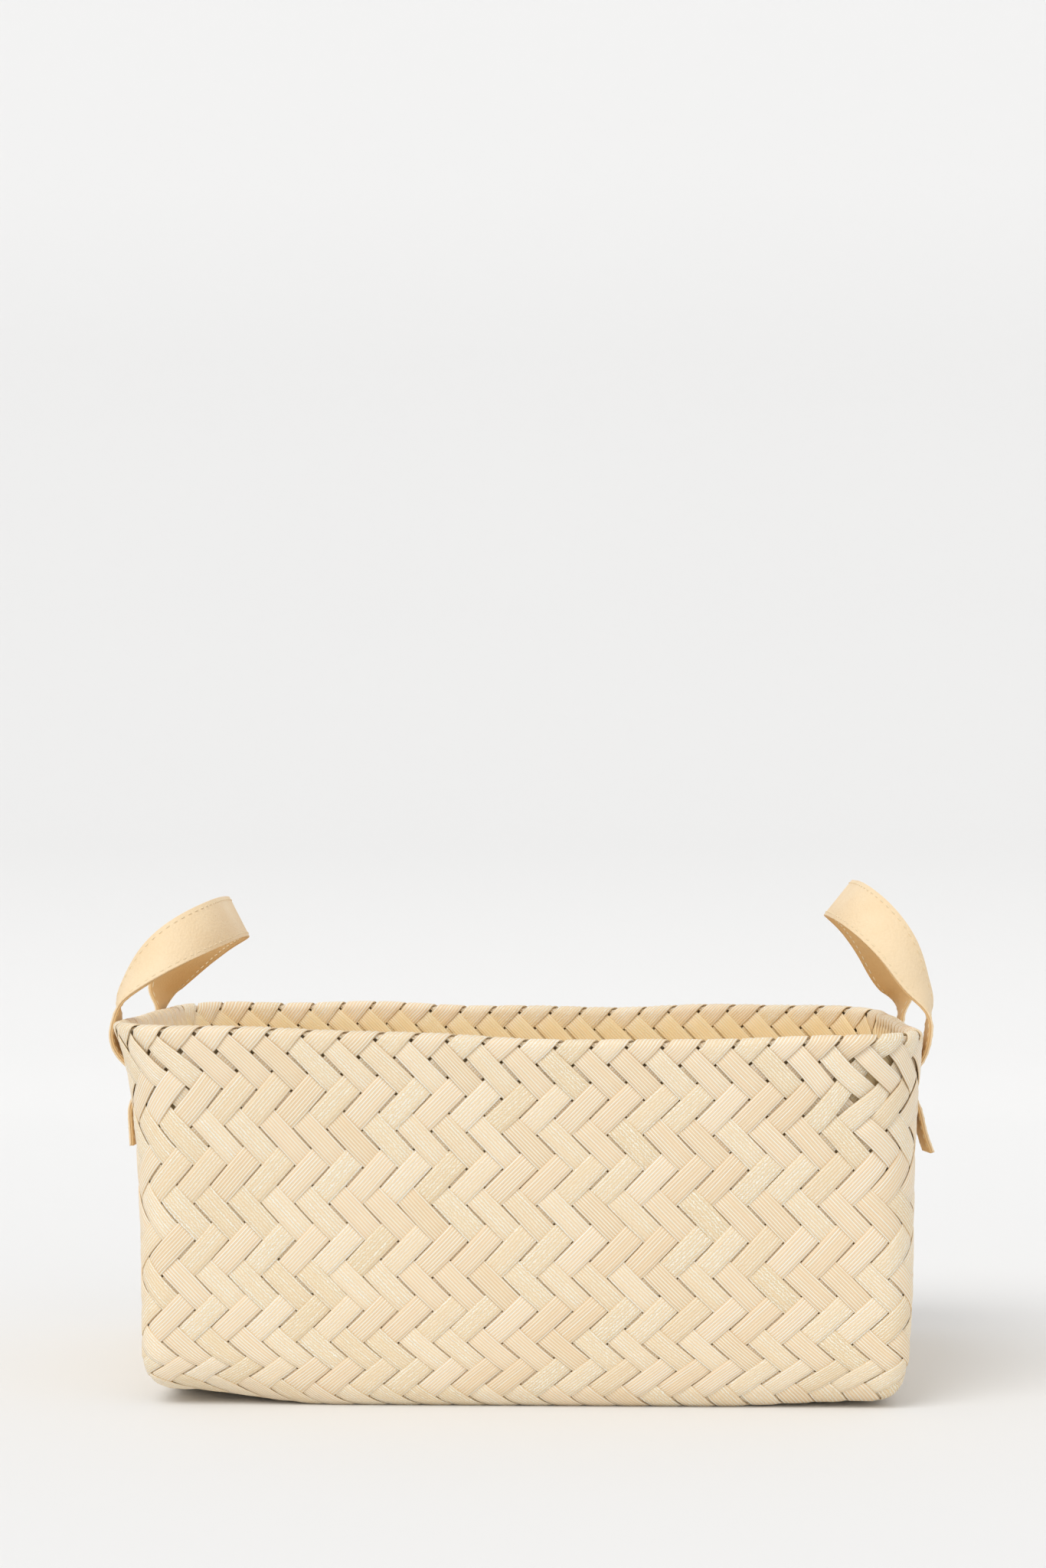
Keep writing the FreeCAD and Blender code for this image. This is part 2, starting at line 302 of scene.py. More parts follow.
def strip_paths():
    """Every strip from one inner end to the other.

    Each is u, v, X, Y, the wall flag, the sense of a sideways step, the lift, whether it runs forward,
    and the number of samples in its first wall run, base run and last wall run.
    """
    paths = []
    for forward in (True, False):
        starts = [(i + 0.5, 0.0 if forward else float(SHORT)) for i in range(LONG)]
        starts += [(0.0, j + 0.5) for j in range(SHORT)]
        for X0, Y0 in starts:
            rise = 1 if forward else -1
            room_y = SHORT - Y0 if forward else Y0
            run = min(LONG - X0, room_y)
            X1, Y1 = X0 + run, Y0 + rise * run
            steps = np.linspace(0, run, max(int(run / 0.11), 3) + 1)[1:-1]
            ends = []
            for X, Y in ((X0, Y0), (X1, Y1)):
                side = int(np.argmin([abs(Y), abs(LONG - X), abs(SHORT - Y), abs(X)]))
                edge_u = (X, LONG + Y, 2 * LONG + SHORT - X, AROUND - Y)[side]
                rising = (side % 2 == 1) == forward
                ends.append((*wall_run(edge_u, rising), rising))
            X, Y = X0 + steps, Y0 + rise * steps
            first, last = ends
            n = [len(first[0]), len(steps), len(last[0])]
            u = np.concatenate([first[0], np.zeros(n[1]), last[0][::-1]])
            v = np.concatenate([first[1], np.zeros(n[1]), last[1][::-1]])
            gx = np.concatenate([np.zeros(n[0]), X, np.zeros(n[2])])
            gy = np.concatenate([np.zeros(n[0]), Y, np.zeros(n[2])])
            lift = np.concatenate([first[2], base_over(X, Y, forward), last[2][::-1]])
            on_wall = np.concatenate([np.ones(n[0], bool), np.zeros(n[1], bool), np.ones(n[2], bool)])
            kind = np.concatenate([np.full(n[0], 1 if first[3] else -1), np.zeros(n[1]),
                                   np.full(n[2], 1 if last[3] else -1)])
            paths.append((u, v, gx, gy, on_wall, kind, lift, forward, n))
    return paths


def settle(points):
    """The sagging rim, the lifted corner tips, the lean of the ends and the bulge of the sides."""
    x, y, z = points[..., 0], points[..., 1], points[..., 2]
    front = through((-0.225, -0.20, -0.09, -0.047, 0.03, 0.11, 0.17, 0.225),
                    (0.0020, 0.0022, -0.0003, -0.0019, -0.0052, -0.0044, -0.0031, -0.0020), x)
    back = through((-0.20, -0.12, 0.03, 0.09, 0.17, 0.225),
                   (-0.0005, 0.0, -0.0029, -0.0020, -0.0012, -0.0035), x)
    depth = smooth(y / 0.30 + 0.5)
    sag = front + (back - front) * depth
    height = smooth((z - 0.09) / 0.11)
    ripple = 0.0006 * np.sin(x * 61 + 1.3) * np.sin(y * 47 + 0.4)
    out = points.copy()
    out[..., 2] += (sag + ripple) * height
    corner = smooth((np.abs(x) / SECTIONS[0, 1] + np.abs(y) / SECTIONS[0, 2] - 1.52) / 0.45)
    front_left = smooth(-x / 0.12) * smooth(-y / 0.08)
    out[..., 2] += (0.0034 + 0.0046 * front_left) * corner * smooth((0.03 - z) / 0.03)
    left = through((0.0, 0.023, 0.060, 0.100, 0.140, 0.170, 0.188, 0.203),
                   (0.0034, 0.0038, 0.0052, 0.0052, 0.0050, 0.0040, 0.0014, -0.0028), z)
    right = through((0.0, 0.100, 0.137, 0.170, 0.190, 0.203),
                    (0.0, 0.0003, 0.0018, 0.0030, 0.0034, 0.0036), z)
    out[..., 0] += left * np.clip(-x / 0.21, 0, 1) ** 2 - right * np.clip(x / 0.21, 0, 1) ** 2
    belly = np.sin(np.clip((z - 0.02) / 0.16, 0, 1) * math.pi)
    out[..., 1] += 0.0012 * belly * np.sin(x * 17 + 0.8) * np.sign(y)
    return out


def looseness(u, v):
    """Where the plait has worked loose: below the rim at the two front corners."""
    right = np.exp(-((u - 21.2) / 2.0) ** 2) * np.exp(-((v - 1.4) / 1.7) ** 2)
    left = np.exp(-((np.mod(u + 3, AROUND) - 3.4) / 1.6) ** 2) * np.exp(-((v - 1.2) / 1.3) ** 2)
    return right + 0.55 * left


TOP_ACROSS = np.array([-1.0, -0.94, -0.5, 0.0, 0.5, 0.94, 1.0])
TOP_HIGH = np.array([-0.15, 0.42, 0.5, 0.5, 0.5, 0.42, -0.15])
LOW_ACROSS = np.array([0.92, 0.0, -0.92])
ACROSS = np.concatenate([TOP_ACROSS, LOW_ACROSS])


def strip_mesh(path):
    """One strip as rings of ten points, with its own small wander and width, and the distance along it."""
    u, v, X, Y, on_wall, kind, lift, forward, n = path
    s = distance_of(v)
    rows = np.linspace(-ROWS_INSIDE, ROWS_DOWN, 400)
    metre_v = np.interp(v, rows, np.gradient(distance_of(rows), rows))
    hx, hy, r = (np.interp(s, LENGTH, ROWS[:, k]) for k in range(3))
    side = np.digitize(np.mod(u, AROUND), CORNER_AT[1:]) % 2
    long_side = 2 * (hx - r) + math.pi * r / 2
    short_side = 2 * (hy - r) + math.pi * r / 2
    metre_u = np.where(side == 0, long_side / LONG, short_side / SHORT)
    base_x, base_y = 2 * ROWS[-1, 0] / LONG, 2 * ROWS[-1, 1] / SHORT
    norm = np.hypot(metre_u, metre_v)
    base_norm = math.hypot(base_x, base_y)

    phase = RANDOM.uniform(0, 2 * math.pi, 4)
    line = np.arange(len(u)) * SAMPLE_STEP
    wander = 0.00022 * np.sin(line * 0.9 + phase[0]) + 0.00016 * np.sin(line * 2.3 + phase[1])
    loose = np.where(on_wall, looseness(np.mod(u, AROUND), v), 0)
    wander = wander + loose * (0.0022 * np.sin(line * 1.7 + phase[2]) + RANDOM.uniform(-0.0010, 0.0010))
    rim = np.where(on_wall, np.exp(-((v - 0.2) / 1.3) ** 2), 0)
    pitch = np.where(on_wall, metre_u * metre_v / norm, base_x * base_y / base_norm)
    own = 1 + RANDOM.uniform(-0.022, 0.010)
    narrowing = 1 - LOOSE_NARROWING * loose - RIM_NARROWING * rim
    width = np.minimum(STRIP_WIDTH, FOLLOW_PITCH * pitch) * own * narrowing / 2

    # sideways direction; a strip's points keep their left and right sides from end to end
    wanted = ACROSS[None, :] * width[:, None] + wander[:, None]
    first_sign, last_sign = side_signs(path)
    sign = np.concatenate([np.full(n[0], first_sign), np.ones(n[1]), np.full(n[2], last_sign)])
    step = wanted * sign[:, None]
    du = step * (metre_v / (norm * metre_u))[:, None]
    dv = step * (np.where(kind >= 0, 1, -1) * metre_u / (norm * metre_v))[:, None]
    dX = step * base_y / (base_norm * base_x)
    dY = -step * base_x / (base_norm * base_y) * (1 if forward else -1)
    wall = np.broadcast_to(on_wall[:, None], step.shape)
    points, normals = surface(u[:, None] + du, v[:, None] + dv, X[:, None] + dX, Y[:, None] + dY, wall)
    _, centre_normal = surface(u, v, X, Y, on_wall)

    high = np.concatenate([TOP_HIGH * STRIP_THICK, np.full(3, -STRIP_THICK / 2)])
    crown = np.concatenate([STRIP_CROWN * (1 - TOP_ACROSS ** 2), STRIP_CROWN * 0.6 * (1 - LOW_ACROSS ** 2)])
    ride_height = (OVER + 0.00025 * rim + 0.0010 * loose * RANDOM.uniform(0.2, 1.0)) * lift
    bow = np.where(lift > 0, 1.0, 0.4)
    total = ride_height[:, None] + high[None, :] + crown[None, :] * bow[:, None]
    normals = normals * 0.75 + centre_normal[:, None, :] * 0.25
    normals /= np.linalg.norm(normals, axis=-1, keepdims=True)
    points = settle(points + normals * total[..., None])
    run = np.concatenate([[0], np.cumsum(np.linalg.norm(np.diff(points[:, 3], axis=0), axis=-1))])
    return points, run


def side_signs(path):
    """Which way is left for the two wall runs of a strip, so that its sides join up with the base run."""
    u, v, _, _, _, kind, _, forward, n = path
    sideways = np.array([1.0, -1.0 if forward else 1.0])
    nowhere, on_wall, step = np.zeros(1), np.array([True]), 0.05
    signs = []
    for at in (n[0] - 1, n[0] + n[1]):
        here_u, here_v = u[at:at + 1], v[at:at + 1]
        point, _ = surface(here_u, here_v, nowhere, nowhere, on_wall)
        moved, _ = surface(here_u + step, here_v + kind[at] * step, nowhere, nowhere, on_wall)
        signs.append(1.0 if (moved - point)[0, :2] @ sideways > 0 else -1.0)
    return signs


def build_mesh(name, rings, materials, uvs=None, attributes=None):
    """A closed tube of quads through rings of points; several tubes may share one mesh."""
    vertices, faces, uv, numbers = [], [], [], {key: [] for key in (attributes or [{}])[0]}
    base = 0
    for index, ring in enumerate(rings):
        count, around = ring.shape[:2]
        vertices.append(ring.reshape(-1, 3))
        grid = base + np.arange(count * around).reshape(count, around)
        a, b = grid[:-1], grid[1:]
        quads = np.stack([a, b, np.roll(b, -1, 1), np.roll(a, -1, 1)], -1).reshape(-1, 4)
        faces.append(quads)
        caps = [list(grid[0]), list(grid[-1][::-1])]
        faces.append(caps)
        if uvs is not None:
            uv.append(uvs[index].reshape(-1, 2))
        for key in numbers:
            numbers[key].append(np.broadcast_to(attributes[index][key], (around, count)).T.ravel())
        base += count * around
    vertices = np.concatenate(vertices)
    polygons = [list(map(int, face)) for group in faces for face in group]
    mesh = bpy.data.meshes.new(name)
    mesh.from_pydata(vertices.tolist(), [], polygons)
    if uvs is not None:
        flat = np.concatenate(uv)
        loops = np.zeros(len(mesh.loops), int)
        mesh.loops.foreach_get("vertex_index", loops)
        layer = mesh.uv_layers.new(name="Along")
        layer.data.foreach_set("uv", flat[loops].astype(np.float32).ravel())
    for key, parts in numbers.items():
        layer = mesh.attributes.new(key, "FLOAT", "POINT")
        layer.data.foreach_set("value", np.concatenate(parts).astype(np.float32))
    mesh.polygons.foreach_set("use_smooth", [True] * len(mesh.polygons))
    mesh.validate()
    item = bpy.data.objects.new(name, mesh)
    bpy.context.scene.collection.objects.link(item)
    for material in materials:
        mesh.materials.append(material)
    return item


# ---- materials ----------------------------------------------------------------------------------
class Nodes:
    """Short names for building one material."""

    def __init__(self, name):
        self.material = bpy.data.materials.new(name)
        self.material.use_nodes = True
        self.tree = self.material.node_tree
        self.shader = self.tree.nodes["Principled BSDF"]

    def link(self, source, target):
        self.tree.links.new(source, target)

    def node(self, kind, **values):
        node = self.tree.nodes.new(kind)
        for key, value in values.items():
            setattr(node, key, value)
        return node

    def math(self, operation, a, b=None, c=None):
        node = self.node("ShaderNodeMath", operation=operation)
        for socket, value in zip(node.inputs, (a, b, c)):
            if value is None:
                continue
            if isinstance(value, (int, float)):
                socket.default_value = value
            else:
                self.link(value, socket)
        return node.outputs[0]

    def noise(self, vector, scale, detail=2.0):
        node = self.node("ShaderNodeTexNoise")
        node.inputs["Scale"].default_value = scale
        node.inputs["Detail"].default_value = detail
        if vector is not None:
            self.link(vector, node.inputs["Vector"])
        return node.outputs["Fac"]

    def mix(self, share, first, second):
        node = self.node("ShaderNodeMix", data_type="RGBA")
        for socket, value in zip((node.inputs[0], node.inputs[6], node.inputs[7]), (share, first, second)):
            if isinstance(value, (int, float)):
                socket.default_value = value
            elif isinstance(value, tuple):
                socket.default_value = value + (1.0,)
            else:
                self.link(value, socket)
        return node.outputs[2]

    def bump(self, height, strength, distance):
        node = self.node("ShaderNodeBump")
        node.inputs["Strength"].default_value = strength
        node.inputs["Distance"].default_value = distance
        self.link(height, node.inputs["Height"])
        self.link(node.outputs[0], self.shader.inputs["Normal"])


def srgb(r, g, b):
    return tuple((c / 255 / 12.92) if c <= 10 else ((c / 255 + 0.055) / 1.055) ** 2.4 for c in (r, g, b))


def strip_material():
    n = Nodes("ribbed_strip")
    uv = n.node("ShaderNodeUVMap", uv_map="Along")
    split = n.node("ShaderNodeSeparateXYZ")
    n.link(uv.outputs[0], split.inputs[0])
    across, along = split.outputs[0], split.outputs[1]
    tone = n.node("ShaderNodeAttribute", attribute_name="tone").outputs["Fac"]
    crinkle = n.node("ShaderNodeAttribute", attribute_name="crinkle").outputs["Fac"]
    seed = n.node("ShaderNodeAttribute", attribute_name="seed").outputs["Fac"]
    place = n.node("ShaderNodeCombineXYZ")
    n.link(n.math("MULTIPLY", across, 9.0), place.inputs[0])
    n.link(n.math("MULTIPLY", along, 900.0), place.inputs[1])
    n.link(n.math("MULTIPLY", seed, 37.0), place.inputs[2])
    wave = n.math("MULTIPLY", n.math("SUBTRACT", n.noise(place.outputs[0], 1.0, 3.0), 0.5), crinkle)
    shifted = n.math("ADD", n.math("MULTIPLY", across, RIBS), n.math("MULTIPLY", wave, 1.2))
    cosine = n.math("COSINE", n.math("MULTIPLY", shifted, 2 * math.pi))
    rib = n.math("ADD", n.math("MULTIPLY", cosine, -0.5), 0.5)
    sharp = n.node("ShaderNodeMapRange", interpolation_type="SMOOTHSTEP")
    n.link(rib, sharp.inputs[0])
    sharp.inputs[1].default_value = 0.38
    sharp.inputs[2].default_value = 0.86
    number = n.node("ShaderNodeCombineXYZ")
    n.link(n.math("FLOOR", shifted), number.inputs[0])
    n.link(n.math("MULTIPLY", seed, 53.0), number.inputs[1])
    chance = n.node("ShaderNodeTexWhiteNoise", noise_dimensions="3D")
    n.link(number.outputs[0], chance.inputs["Vector"])
    uneven = n.math("ADD", n.math("MULTIPLY", chance.outputs["Value"], 0.55), 0.45)
    ribs = n.math("MULTIPLY", sharp.outputs[0], uneven)
    # rib colours: darker beige grooves and near-white crests, partly the strips' own stripes and partly painted
    # shade in the grooves and a painted highlight on the crests
    warm = n.mix(tone, srgb(230, 198, 154), srgb(243, 216, 178))
    pale = n.mix(tone, srgb(231, 204, 160), srgb(243, 220, 182))
    groove_tone_and_shade = n.mix(crinkle, warm, pale)
    crest = n.mix(tone, srgb(255, 249, 230), srgb(255, 254, 244))
    colour = n.mix(ribs, groove_tone_and_shade, crest)
    slow = n.node("ShaderNodeCombineXYZ")
    n.link(across, slow.inputs[0])
    n.link(n.math("MULTIPLY", along, 22.0), slow.inputs[1])
    n.link(n.math("MULTIPLY", seed, 91.0), slow.inputs[2])
    mottle = n.noise(slow.outputs[0], 1.6, 3.0)
    colour = n.mix(n.math("MULTIPLY", mottle, 0.20), colour, srgb(242, 224, 190))
    # painted warm light: the runs of the strips inside the basket get a warmer yellow tint, standing in for
    # light bounced about inside, which also warms the shade seen through the gaps
    painted_inside_warmth = n.node("ShaderNodeAttribute", attribute_name="painted_inside_warmth").outputs["Fac"]
    colour = n.mix(n.math("MULTIPLY", painted_inside_warmth, 0.55), colour, srgb(255, 226, 164))
    n.link(colour, n.shader.inputs["Base Color"])
    n.link(n.math("ADD", n.math("MULTIPLY", mottle, 0.16), 0.40), n.shader.inputs["Roughness"])
    n.shader.inputs["Subsurface Weight"].default_value = 0.06
    n.shader.inputs["Subsurface Radius"].default_value = (0.004, 0.003, 0.002)
    n.bump(n.math("ADD", ribs, n.math("MULTIPLY", wave, 0.5)), 0.8, 0.00030)
    return n.material


def leather_material(name, light, dark, grain, rough):
    n = Nodes(name)
    place = n.node("ShaderNodeTexCoord").outputs["Object"]
    cells = n.node("ShaderNodeTexVoronoi", feature="SMOOTH_F1")
    cells.inputs["Scale"].default_value = 760.0
    n.link(place, cells.inputs["Vector"])
    fine = n.noise(place, 2600.0, 3.0)
    broad = n.noise(place, 38.0, 3.0)
    pebble = n.math("ADD", cells.outputs["Distance"], n.math("MULTIPLY", fine, 0.35))
    colour = n.mix(broad, dark, light)
    colour = n.mix(n.math("MULTIPLY", pebble, 0.30), colour, dark)
    n.link(colour, n.shader.inputs["Base Color"])
    n.link(n.math("ADD", n.math("MULTIPLY", pebble, 0.15), rough), n.shader.inputs["Roughness"])
    n.bump(pebble, grain, 0.0005)
    return n.material


def thread_material():
    n = Nodes("sewing_thread")
    place = n.node("ShaderNodeTexCoord").outputs["Object"]
    twist = n.node("ShaderNodeTexWave")
    twist.inputs["Scale"].default_value = 900.0
    n.link(place, twist.inputs["Vector"])
    # darker and lighter bands along the twist: painted shade in the grooves between the plies
    colour = n.mix(twist.outputs["Fac"], srgb(228, 202, 158), srgb(250, 236, 206))
    n.link(colour, n.shader.inputs["Base Color"])
    n.shader.inputs["Roughness"].default_value = 0.75
    n.bump(twist.outputs["Fac"], 0.4, 0.0001)
    return n.material


# ---- weave pieces -------------------------------------------------------------------------------
WOVEN = sorted(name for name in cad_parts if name.startswith("woven_"))


def build_weave():
    material = strip_material()
    paths = strip_paths()
    for piece in range(PIECES):
        rings, uvs, facts = [], [], []
        for path in paths[piece::PIECES]:
            points, run = strip_mesh(path)
            across = (ACROSS + 1) / 2
            uv = np.stack([np.broadcast_to(across, points.shape[:2]),
                           np.broadcast_to(run[:, None], points.shape[:2])], -1)
            rings.append(points)
            uvs.append(uv)
            kind = RANDOM.uniform()
            facts.append({
                "tone": RANDOM.uniform(0.15, 1.0),
                "crinkle": RANDOM.uniform(0.0, 0.12) if kind < 0.5 else RANDOM.uniform(0.5, 1.1),
                "seed": RANDOM.uniform(),
                # mask for painted warm light on the runs inside the basket
                "painted_inside_warmth": smooth((-0.25 - path[1]) / 0.5),
            })
        item = build_mesh(f"plaited_strips_{piece + 1:02d}", rings, [material], uvs, facts)
        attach(item, "basket")
        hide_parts(*WOVEN)


# ---- strap handles ------------------------------------------------------------------------------
# Middle of a strap from the tail at the front leg to the crown: inwards from the bend line, along
# Y, up from the bend line, and the direction across the strap towards its lower edge.
LEFT_TAIL = (
    ((0.0106, -0.0860, -0.0690), (0, -1, 0)),
    ((0.0098, -0.0860, -0.0560), (0, -1, 0)),
    ((0.0106, -0.0860, -0.0450), (0, -1, 0)),
    ((0.0146, -0.0860, -0.0370), (0, -1, 0)),
    ((0.0138, -0.0860, -0.0305), (0, -1, 0)),
    ((0.0076, -0.0860, -0.0240), (0, -1, 0)),
    ((0.0012, -0.0860, -0.0165), (0, -1, 0)),
    ((-0.0012, -0.0860, -0.0080), (0, -1, 0)),
)
LEFT_LOOP = (
    ((0.0, -0.0860, 0.0), (0.0, -1.0, 0.0)),
    ((0.0016, -0.0855, 0.0100), (0.2, -0.97, -0.04)),
    ((0.0070, -0.0840, 0.0190), (0.39, -0.90, -0.18)),
    ((0.0210, -0.0800, 0.0340), (0.65, -0.58, -0.50)),
    ((0.0365, -0.0710, 0.0455), (0.64, -0.19, -0.75)),
    ((0.0487, -0.0550, 0.0524), (0.48, 0.0, -0.88)),
    ((0.0536, -0.0330, 0.0552), (0.46, 0.0, -0.89)),
    ((0.0545, 0.0, 0.0560), (0.48, 0.0, -0.88)),
)
RIGHT_TAIL = (
    ((0.0030, -0.0860, -0.0720), (-0.10, -1, 0)),
    ((0.0070, -0.0860, -0.0590), (-0.06, -1, 0)),
    ((0.0100, -0.0860, -0.0450), (0, -1, 0)),
    ((0.0140, -0.0860, -0.0365), (0, -1, 0)),
    ((0.0132, -0.0860, -0.0295), (0, -1, 0)),
    ((0.0080, -0.0860, -0.0220), (0, -1, 0)),
    ((0.0044, -0.0860, -0.0140), (0, -1, 0)),
    ((0.0028, -0.0860, -0.0065), (0, -1, 0)),
)
RIGHT_LOOP = (
    ((0.0024, -0.0860, 0.0), (0.03, -1.0, 0.0)),
    ((0.0040, -0.0855, 0.0100), (0.3, -0.95, -0.10)),
    ((0.0088, -0.0845, 0.0195), (0.53, -0.82, -0.22)),
    ((0.0182, -0.0820, 0.0380), (0.77, -0.51, -0.38)),
    ((0.0300, -0.0735, 0.0540), (0.79, -0.20, -0.58)),
    ((0.0400, -0.0560, 0.0635), (0.69, -0.03, -0.73)),
    ((0.0440, -0.0340, 0.0665), (0.63, 0.0, -0.78)),
    ((0.0445, 0.0, 0.0670), (0.65, 0.0, -0.76)),
)


def spline(values, knots, at):
    """Natural cubic spline through rows of values."""
    n = len(knots)
    h = np.diff(knots)
    matrix, right = np.eye(n), np.zeros((n, values.shape[1]))
    for i in range(1, n - 1):
        matrix[i, i - 1:i + 2] = h[i - 1], 2 * (h[i - 1] + h[i]), h[i]
        right[i] = 6 * ((values[i + 1] - values[i]) / h[i] - (values[i] - values[i - 1]) / h[i - 1])
    second = np.linalg.solve(matrix, right)
    i = np.clip(np.searchsorted(knots, at) - 1, 0, n - 2)
    a, b = (knots[i + 1] - at)[:, None], (at - knots[i])[:, None]
    w = h[i][:, None]
    bend = (second[i] * a ** 3 + second[i + 1] * b ** 3) / (6 * w)
    before = (values[i] / w - second[i] * w / 6) * a
    after = (values[i + 1] / w - second[i + 1] * w / 6) * b
    return bend + before + after


def strap_frames(tail, loop, count=420):
    """Middle, direction across, outward normal and distance run along a whole strap at -X."""
    half = tail + loop
    middles = np.array([p for p, _ in half], float)
    across = np.array([a for _, a in half], float)
    mirror = np.array([1.0, -1.0, 1.0])
    middles = np.concatenate([middles, (middles * mirror)[-2::-1]])
    across = np.concatenate([across, (across * mirror)[-2::-1]])
    middles += np.array([-BEND_X, 0, BEND_Z])
    knots = np.concatenate([[0], np.cumsum(np.linalg.norm(np.diff(middles, axis=0), axis=1))])
    at = np.linspace(0, knots[-1], count)
    line, side = spline(middles, knots, at), spline(across, knots, at)
    tangent = np.gradient(line, axis=0)
    tangent /= np.linalg.norm(tangent, axis=1, keepdims=True)
    rear = smooth((line[:, 1] - 0.040) / 0.045)
    above = smooth((line[:, 2] - BEND_Z + 0.006) / 0.020)
    turn = np.radians(REAR_TURN) * rear * above
    side = side + np.cross(tangent, side) * np.tan(turn)[:, None]
    side -= tangent * (side * tangent).sum(1, keepdims=True)
    side /= np.linalg.norm(side, axis=1, keepdims=True)
    run = np.concatenate([[0], np.cumsum(np.linalg.norm(np.diff(line, axis=0), axis=1))])
    return line, side, np.cross(side, tangent), run


def layer_rings(frames, low, high, half_width):
    """One leather layer with rounded long edges."""
    line, side, normal, _ = frames
    middle, half = (low + high) / 2, (high - low) / 2
    flat = half_width - half * EDGE_ROUND
    edge = ((0.35, -0.75), (0.55, 0), (0.35, 0.75))
    shape = [(-flat, low), (0.0, low), (flat, low)]
    shape += [(half_width + half * (c - EDGE_ROUND), middle + half * s) for c, s in edge]
    shape += [(flat, high), (0.0, high), (-flat, high)]
    shape += [(-half_width - half * (c - EDGE_ROUND), middle + half * s) for c, s in reversed(edge)]
    return np.stack([line + side * a + normal * b for a, b in shape], 1)


def read_along(run, values, at):
    return np.stack([np.interp(at, run, values[:, k]) for k in range(3)], 1)


def stitch_rings(frames, face, inset=0.0024, pitch=0.0050, length=0.0035):
    """Short raised stitches in two rows on one face of the strap."""
    line, side, normal, run = frames
    swell = np.array([0.25, 0.85, 1.0, 1.0, 0.85, 0.25])
    depth = np.array([-0.00025, 0.00005, 0.00015, 0.00015, 0.00005, -0.00025])
    raised = (face * (STRAP_THICK / 2 + depth))[:, None]
    rings = []
    for row in (-1, 1):
        for start in np.arange(0.003, run[-1] - 0.006, pitch):
            at = start + np.linspace(0, length, 6)
            p, s, m = (read_along(run, values, at) for values in (line, side, normal))
            centre = p + s * row * (STRAP_WIDTH / 2 - inset) + m * raised
            ring = []
            for angle in np.linspace(0, 2 * math.pi, 6, endpoint=False):
                ring.append(centre + s * (0.00038 * math.cos(angle) * swell)[:, None]
                            + m * (0.00028 * math.sin(angle) * swell * face)[:, None])
            rings.append(np.stack(ring, 1))
    return rings


def build_handle(name, tail, loop, mirrored, materials):
    frames = strap_frames(tail, loop)
    if mirrored:
        flip = np.array([-1.0, 1.0, 1.0])
        frames = tuple(a * flip for a in frames[:3]) + (frames[3],)
    outer_leather, lining, thread = materials
    half = STRAP_THICK / 2
    outside = layer_rings(frames, LAYER_GAP, half, STRAP_WIDTH / 2)
    inside = layer_rings(frames, -half, -LAYER_GAP, STRAP_WIDTH / 2 - LINING_INSET)
    parts = (
        ("outer_strap", [outside], outer_leather, "strap_leather",
         (f"{name}_handle_outer_leather", f"{name}_front_strap_end", f"{name}_rear_strap_end")),
        ("lining_strap", [inside], lining, "strap_lining",
         (f"{name}_handle_lining",)),
        ("stitches", stitch_rings(frames, 1) + stitch_rings(frames, -1), thread, "thread",
         (f"{name}_handle_stitching",)),
    )
    for label, rings, material, slot, stands_for in parts:
        item = build_mesh(f"{name}_{label}", rings, [material])
        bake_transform(item)
        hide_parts(*stands_for)


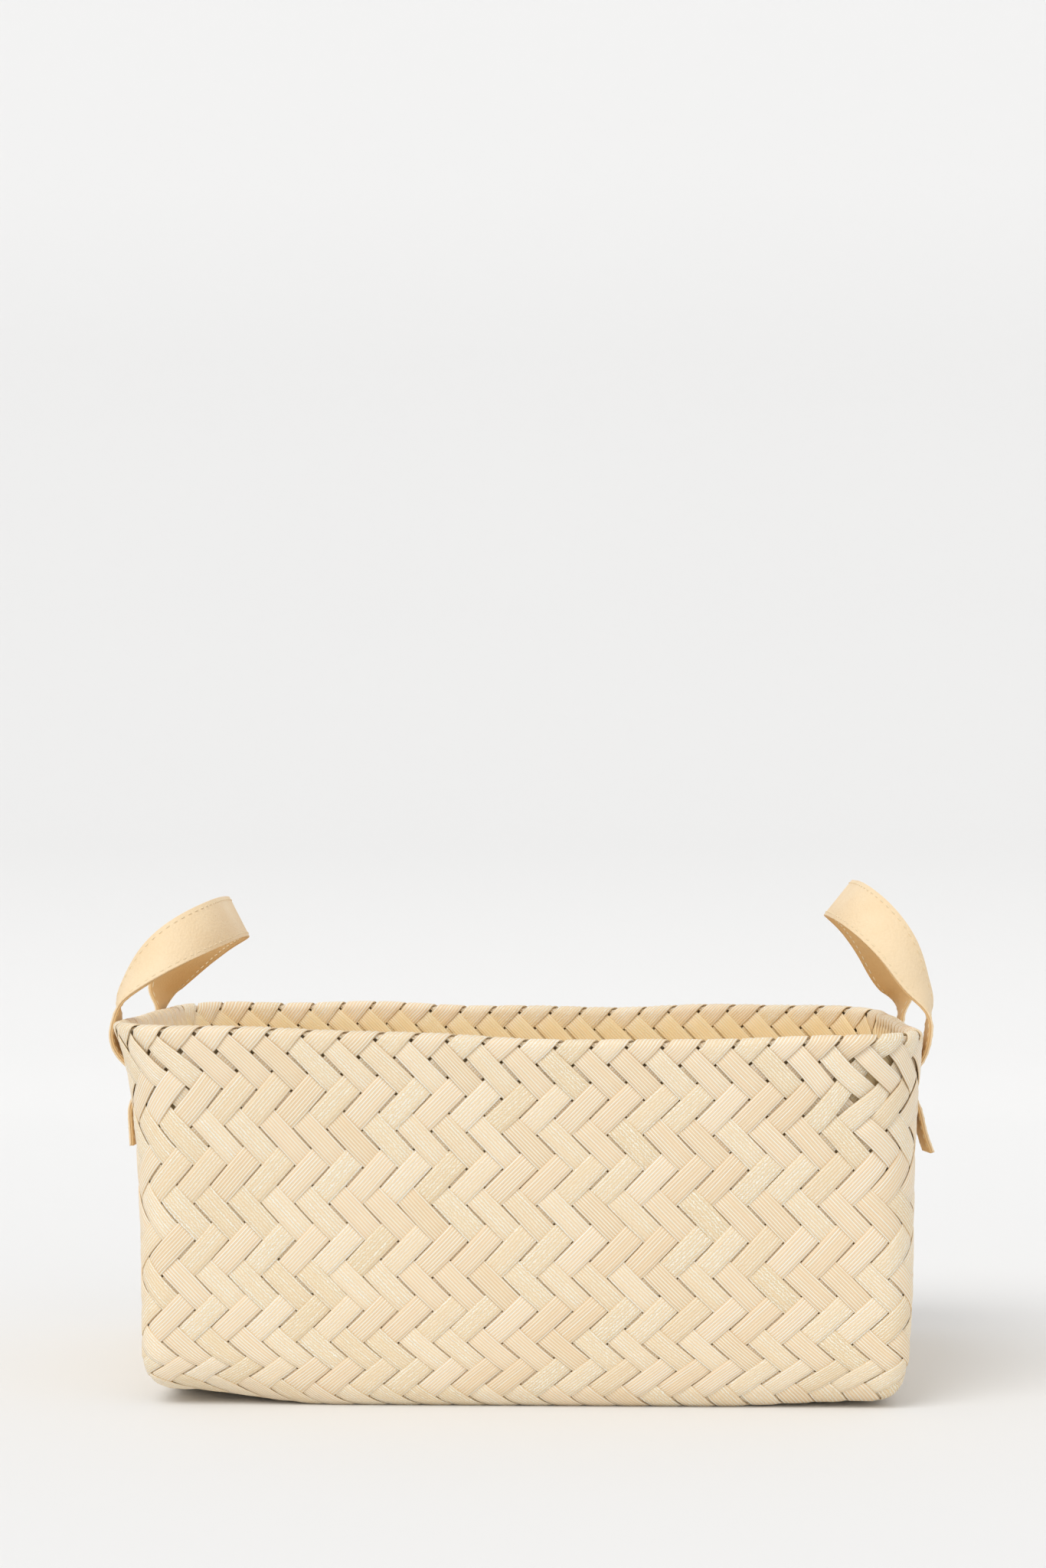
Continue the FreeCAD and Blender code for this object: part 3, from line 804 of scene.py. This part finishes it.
# ---- the stage ----------------------------------------------------------------------------------
def build_stage():
    mesh = bpy.data.meshes.new("floor")
    reach = 6.0
    lift, back, bend = 3.6, 1.6, 1.0
    rows = [(-reach, 0.0)]
    rows += [(back + bend * math.sin(a), bend - bend * math.cos(a)) for a in np.linspace(0, math.pi / 2, 24)]
    rows += [(back + bend, lift)]
    vertices = [(x, y, z) for y, z in rows for x in (-reach, reach)]
    mesh.from_pydata(vertices, [], [(2 * i, 2 * i + 1, 2 * i + 3, 2 * i + 2) for i in range(len(rows) - 1)])
    mesh.polygons.foreach_set("use_smooth", [True] * len(mesh.polygons))
    floor = bpy.data.objects.new("floor", mesh)
    bpy.context.scene.collection.objects.link(floor)
    n = Nodes("floor_paper")
    place = n.node("ShaderNodeTexCoord").outputs["Object"]
    height = n.node("ShaderNodeSeparateXYZ")
    n.link(place, height.inputs[0])
    # painted light on the backdrop: grey by height, darkening from the floor into the curve of the cove and
    # growing lighter again higher up the wall, standing in for how the light falls off
    ramp = n.node("ShaderNodeValToRGB")
    n.link(n.math("MULTIPLY", height.outputs[2], 0.5), ramp.inputs[0])
    painted_light_falloff = ((0.0, 0.842), (0.03, 0.80), (0.15, 0.735), (0.32, 0.765), (0.62, 0.855), (1.0, 0.88))
    stops = ramp.color_ramp.elements
    while len(stops) < len(painted_light_falloff):
        stops.new(0.5)
    for stop, (at, shade) in zip(stops, painted_light_falloff):
        stop.position, stop.color = at, (shade, shade, shade, 1)
    grain = n.math("MULTIPLY", n.noise(place, 3.0, 2.0), 0.03)
    n.link(n.mix(grain, ramp.outputs[0], (0.90, 0.89, 0.87)), n.shader.inputs["Base Color"])
    n.shader.inputs["Roughness"].default_value = 0.9
    n.shader.inputs["Specular IOR Level"].default_value = 0.1
    mesh.materials.append(n.material)


def sun_light(name, direction, spread, power, colour):
    light = bpy.data.lights.new(name, "SUN")
    light.angle, light.energy, light.color = math.radians(spread), power, colour
    item = bpy.data.objects.new(name, light)
    item.rotation_euler = Vector(direction).to_track_quat("-Z", "Y").to_euler()
    bpy.context.scene.collection.objects.link(item)


def build_lights():
    world = bpy.data.worlds.new("studio")
    world.use_nodes = True
    world.node_tree.nodes["Background"].inputs["Color"].default_value = (1.0, 1.0, 1.0, 1.0)
    world.node_tree.nodes["Background"].inputs["Strength"].default_value = 0.72
    bpy.context.scene.world = world
    sun_light("key", (0.50, 0.66, -0.95), 38, 1.20, (1.0, 0.99, 0.97))
    sun_light("fill", (-0.55, 0.75, -0.45), 60, 0.22, (0.98, 0.99, 1.0))


def build_camera():
    camera = bpy.data.cameras.new("camera")
    camera.lens = 72.5
    camera.sensor_fit = "VERTICAL"
    camera.sensor_height = 36.0
    item = bpy.data.objects.new("camera", camera)
    item.location = (0.055, -1.854, 0.302)
    item.rotation_euler = (math.radians(91.153), 0.0, math.radians(1.79))
    bpy.context.scene.collection.objects.link(item)
    bpy.context.scene.camera = item


build_camera()
build_lights()
build_stage()
bpy.context.scene.view_settings.view_transform = "Standard"
build_weave()
outer = leather_material("outer_leather", srgb(250, 230, 196), srgb(238, 208, 164), 0.60, 0.50)
# lining colours: darker and browner than the outer leather, partly the lining's own colour and partly painted
# shade, as the lining faces in and down
inner = leather_material("lining_leather_and_painted_shade", srgb(234, 200, 148), srgb(220, 178, 120), 0.25, 0.62)
thread = thread_material()
build_handle("left", LEFT_TAIL, LEFT_LOOP, False, (outer, inner, thread))
build_handle("right", RIGHT_TAIL, RIGHT_LOOP, True, (outer, inner, thread))
